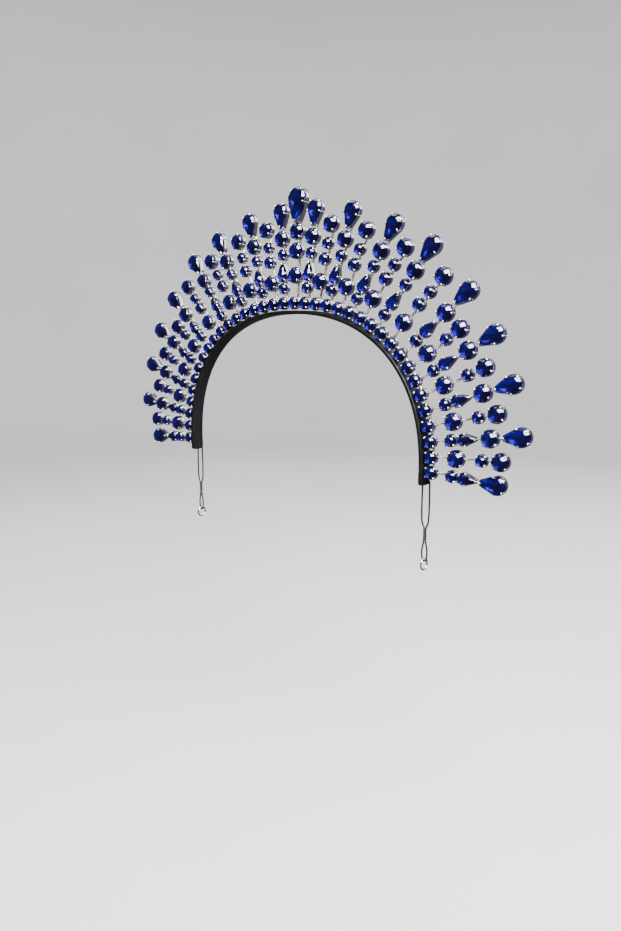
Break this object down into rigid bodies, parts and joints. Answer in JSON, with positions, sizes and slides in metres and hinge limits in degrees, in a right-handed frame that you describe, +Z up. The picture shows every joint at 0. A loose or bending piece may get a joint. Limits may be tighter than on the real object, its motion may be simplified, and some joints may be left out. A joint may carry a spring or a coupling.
{
  "type": "sunburst tiara",
  "caption": "Halo tiara for stage wear: an arched black headband with a row of round blue stones and claw-set blue stone rays standing out all round, with a wire loop and ring at each end.",
  "frame": {"origin": "crown of the headband's inner face, where it sits on the head, in the plane of the base settings' backs", "axes": "+X to the right of someone facing the front, +Y to the back, +Z up along the centre ray"},
  "size_m": [0.2736, 0.0101, 0.1916],
  "materials": {
    "band_black": "satin",
    "blue_stone": "polished facets",
    "silver": "polished",
    "dark_wire": "satin"
  },
  "bodies": {
    "root": {"headband": "band_black", "base_row": "blue_stone", "ray_center": "blue_stone", "ray_right_01": "blue_stone", "ray_right_02": "blue_stone", "ray_right_03": "blue_stone", "ray_right_04": "blue_stone", "ray_right_05": "blue_stone", "ray_right_06": "blue_stone", "ray_right_07": "blue_stone", "ray_right_08": "blue_stone", "ray_right_09": "blue_stone", "ray_right_10": "blue_stone", "ray_right_11": "blue_stone", "ray_right_12": "blue_stone", "ray_right_13": "blue_stone", "ray_right_14": "blue_stone", "ray_right_15": "blue_stone", "ray_right_16": "blue_stone", "ray_right_17": "blue_stone", "ray_left_01": "blue_stone", "ray_left_02": "blue_stone", "ray_left_03": "blue_stone", "ray_left_04": "blue_stone", "ray_left_05": "blue_stone", "ray_left_06": "blue_stone", "ray_left_07": "blue_stone", "ray_left_08": "blue_stone", "ray_left_09": "blue_stone", "ray_left_10": "blue_stone", "ray_left_11": "blue_stone", "ray_left_12": "blue_stone", "ray_left_13": "blue_stone", "ray_left_14": "blue_stone", "ray_left_15": "blue_stone", "ray_left_16": "blue_stone", "ray_left_17": "blue_stone", "end_loop_right": "dark_wire", "end_ring_right": "silver", "end_loop_left": "dark_wire", "end_ring_left": "silver"}
  },
  "joints": []
}
